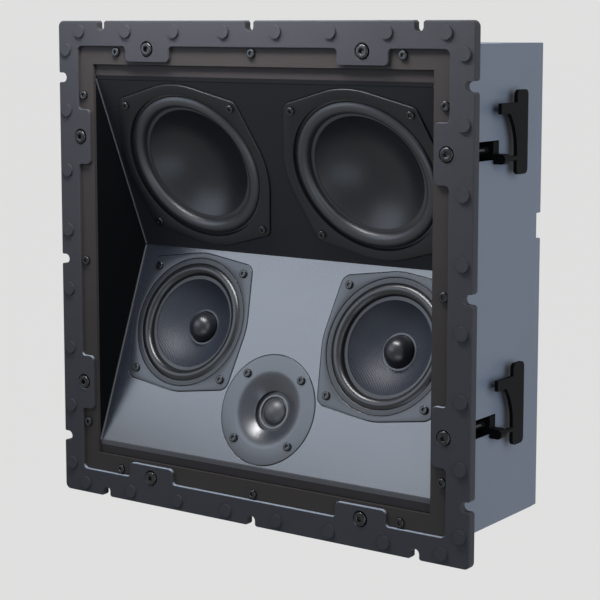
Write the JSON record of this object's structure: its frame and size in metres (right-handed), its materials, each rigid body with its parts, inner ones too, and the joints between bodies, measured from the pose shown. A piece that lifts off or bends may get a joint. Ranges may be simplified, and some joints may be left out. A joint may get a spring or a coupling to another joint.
{
  "type": "angled in-ceiling speaker",
  "caption": "Square in-ceiling loudspeaker: black box with V-shaped recessed baffles, woofers, midranges, dome tweeter, flange with clamp dogs.",
  "frame": {"origin": "centre of the flange's back face, which bears on the ceiling", "axes": "-Y out of the front, into the room; +Y into the ceiling; +Z towards the woofers; +X to the right seen from the front"},
  "size_m": [0.4, 0.1401, 0.4],
  "materials": {
    "frame_plastic": "moulded satin black",
    "painted_board": "board painted satin black",
    "clamp_plastic": "moulded black",
    "basket_paint": "black powder coat",
    "surround_rubber": "smooth black rubber",
    "woofer_cone": "satin black dish",
    "mid_cone": "woven black cone",
    "plug_gloss": "gloss black",
    "spider_cloth": "resin-dipped cloth",
    "motor_steel": "zinc plated",
    "ferrite": "ground ferrite",
    "faceplate_plastic": "satin black",
    "dome_cloth": "coated cloth",
    "black_screw": "black oxide",
    "post_brass": "plated brass",
    "nut_plastic": "black",
    "cup_plastic": "moulded black",
    "filter_board": "circuit board",
    "choke_copper": "wound copper",
    "capacitor_film": "film capacitor"
  },
  "bodies": {
    "speaker": {"back_panel": "painted_board", "binding_posts": "post_brass", "cabinet_shell": "painted_board", "clamp_screws": "black_screw", "crossover_board": "filter_board", "crossover_capacitors": "capacitor_film", "crossover_chokes": "choke_copper", "frame_screws": "black_screw", "mid_left_basket": "basket_paint", "mid_left_phase_plug": "plug_gloss", "mid_left_surround": "surround_rubber", "mid_magnets": "ferrite", "mid_right_basket": "basket_paint", "mid_right_phase_plug": "plug_gloss", "mid_right_surround": "surround_rubber", "mid_screws": "black_screw", "mid_spiders": "spider_cloth", "mid_top_plates": "motor_steel", "mid_yokes": "motor_steel", "midrange_board": "painted_board", "mounting_frame": "frame_plastic", "terminal_cup": "cup_plastic", "tweeter_dome": "dome_cloth", "tweeter_faceplate": "faceplate_plastic", "tweeter_magnet": "ferrite", "tweeter_screws": "black_screw", "tweeter_top_plate": "motor_steel", "tweeter_yoke": "motor_steel", "woofer_board": "painted_board", "woofer_left_basket": "basket_paint", "woofer_left_surround": "surround_rubber", "woofer_magnets": "ferrite", "woofer_right_basket": "basket_paint", "woofer_right_surround": "surround_rubber", "woofer_screws": "black_screw", "woofer_spiders": "spider_cloth", "woofer_top_plates": "motor_steel", "woofer_yokes": "motor_steel"},
    "carriage_right_upper": {"carriage_right_upper": "clamp_plastic"},
    "dog_right_upper": {"dog_right_upper": "clamp_plastic"},
    "carriage_right_lower": {"carriage_right_lower": "clamp_plastic"},
    "dog_right_lower": {"dog_right_lower": "clamp_plastic"},
    "carriage_bottom_right": {"carriage_bottom_right": "clamp_plastic"},
    "dog_bottom_right": {"dog_bottom_right": "clamp_plastic"},
    "carriage_bottom_left": {"carriage_bottom_left": "clamp_plastic"},
    "dog_bottom_left": {"dog_bottom_left": "clamp_plastic"},
    "carriage_left_lower": {"carriage_left_lower": "clamp_plastic"},
    "dog_left_lower": {"dog_left_lower": "clamp_plastic"},
    "carriage_left_upper": {"carriage_left_upper": "clamp_plastic"},
    "dog_left_upper": {"dog_left_upper": "clamp_plastic"},
    "carriage_top_left": {"carriage_top_left": "clamp_plastic"},
    "dog_top_left": {"dog_top_left": "clamp_plastic"},
    "carriage_top_right": {"carriage_top_right": "clamp_plastic"},
    "dog_top_right": {"dog_top_right": "clamp_plastic"},
    "woofer_left_cone": {"woofer_left_cone": "woofer_cone"},
    "woofer_right_cone": {"woofer_right_cone": "woofer_cone"},
    "mid_left_cone": {"mid_left_cone": "mid_cone"},
    "mid_right_cone": {"mid_right_cone": "mid_cone"},
    "terminal_nut_left": {"terminal_nut_left": "nut_plastic"},
    "terminal_nut_right": {"terminal_nut_right": "nut_plastic"}
  },
  "joints": [
    {"name": "carriage_slide_right_upper", "type": "slide", "parent": "speaker", "child": "carriage_right_upper", "axis": [0, -1, 0], "range_m": [0, 0.0472]},
    {"name": "dog_swing_right_upper", "type": "hinge", "parent": "carriage_right_upper", "child": "dog_right_upper", "pos_m": [0.19, 0.05, 0.0975], "axis": [0, 1, 0], "range_deg": [0, 25]},
    {"name": "carriage_slide_right_lower", "type": "slide", "parent": "speaker", "child": "carriage_right_lower", "axis": [0, -1, 0], "range_m": [0, 0.0472]},
    {"name": "dog_swing_right_lower", "type": "hinge", "parent": "carriage_right_lower", "child": "dog_right_lower", "pos_m": [0.19, 0.05, -0.1105], "axis": [0, 1, 0], "range_deg": [0, 25]},
    {"name": "carriage_slide_bottom_right", "type": "slide", "parent": "speaker", "child": "carriage_bottom_right", "axis": [0, -1, 0], "range_m": [0, 0.0472]},
    {"name": "dog_swing_bottom_right", "type": "hinge", "parent": "carriage_bottom_right", "child": "dog_bottom_right", "pos_m": [0.0975, 0.05, -0.19], "axis": [0, 1, 0], "range_deg": [0, 25]},
    {"name": "carriage_slide_bottom_left", "type": "slide", "parent": "speaker", "child": "carriage_bottom_left", "axis": [0, -1, 0], "range_m": [0, 0.0472]},
    {"name": "dog_swing_bottom_left", "type": "hinge", "parent": "carriage_bottom_left", "child": "dog_bottom_left", "pos_m": [-0.1105, 0.05, -0.19], "axis": [0, 1, 0], "range_deg": [0, 25]},
    {"name": "carriage_slide_left_lower", "type": "slide", "parent": "speaker", "child": "carriage_left_lower", "axis": [0, -1, 0], "range_m": [0, 0.0472]},
    {"name": "dog_swing_left_lower", "type": "hinge", "parent": "carriage_left_lower", "child": "dog_left_lower", "pos_m": [-0.19, 0.05, -0.0975], "axis": [0, 1, 0], "range_deg": [0, 25]},
    {"name": "carriage_slide_left_upper", "type": "slide", "parent": "speaker", "child": "carriage_left_upper", "axis": [0, -1, 0], "range_m": [0, 0.0472]},
    {"name": "dog_swing_left_upper", "type": "hinge", "parent": "carriage_left_upper", "child": "dog_left_upper", "pos_m": [-0.19, 0.05, 0.1105], "axis": [0, 1, 0], "range_deg": [0, 25]},
    {"name": "carriage_slide_top_left", "type": "slide", "parent": "speaker", "child": "carriage_top_left", "axis": [0, -1, 0], "range_m": [0, 0.0472]},
    {"name": "dog_swing_top_left", "type": "hinge", "parent": "carriage_top_left", "child": "dog_top_left", "pos_m": [-0.0975, 0.05, 0.19], "axis": [0, 1, 0], "range_deg": [0, 25]},
    {"name": "carriage_slide_top_right", "type": "slide", "parent": "speaker", "child": "carriage_top_right", "axis": [0, -1, 0], "range_m": [0, 0.0472]},
    {"name": "dog_swing_top_right", "type": "hinge", "parent": "carriage_top_right", "child": "dog_top_right", "pos_m": [0.1105, 0.05, 0.19], "axis": [0, 1, 0], "range_deg": [0, 25]},
    {"name": "woofer_left_stroke", "type": "slide", "parent": "speaker", "child": "woofer_left_cone", "axis": [0, -0.9185, -0.3955], "range_m": [-0.004, 0.004], "stiffness_N_per_m": 1200, "deforming": ["woofer_left_surround", "woofer_spiders"]},
    {"name": "woofer_right_stroke", "type": "slide", "parent": "speaker", "child": "woofer_right_cone", "axis": [0, -0.9185, -0.3955], "range_m": [-0.004, 0.004], "stiffness_N_per_m": 1200, "deforming": ["woofer_right_surround", "woofer_spiders"]},
    {"name": "mid_left_stroke", "type": "slide", "parent": "speaker", "child": "mid_left_cone", "axis": [0, -0.9336, 0.3584], "range_m": [-0.0025, 0.0025], "stiffness_N_per_m": 1500, "deforming": ["mid_left_surround", "mid_spiders"]},
    {"name": "mid_right_stroke", "type": "slide", "parent": "speaker", "child": "mid_right_cone", "axis": [0, -0.9336, 0.3584], "range_m": [-0.0025, 0.0025], "stiffness_N_per_m": 1500, "deforming": ["mid_right_surround", "mid_spiders"]},
    {"name": "nut_unscrew_left", "type": "slide", "parent": "speaker", "child": "terminal_nut_left", "axis": [0, 1, 0], "range_m": [0, 0.0045]},
    {"name": "nut_unscrew_right", "type": "slide", "parent": "speaker", "child": "terminal_nut_right", "axis": [0, 1, 0], "range_m": [0, 0.0045]}
  ]
}
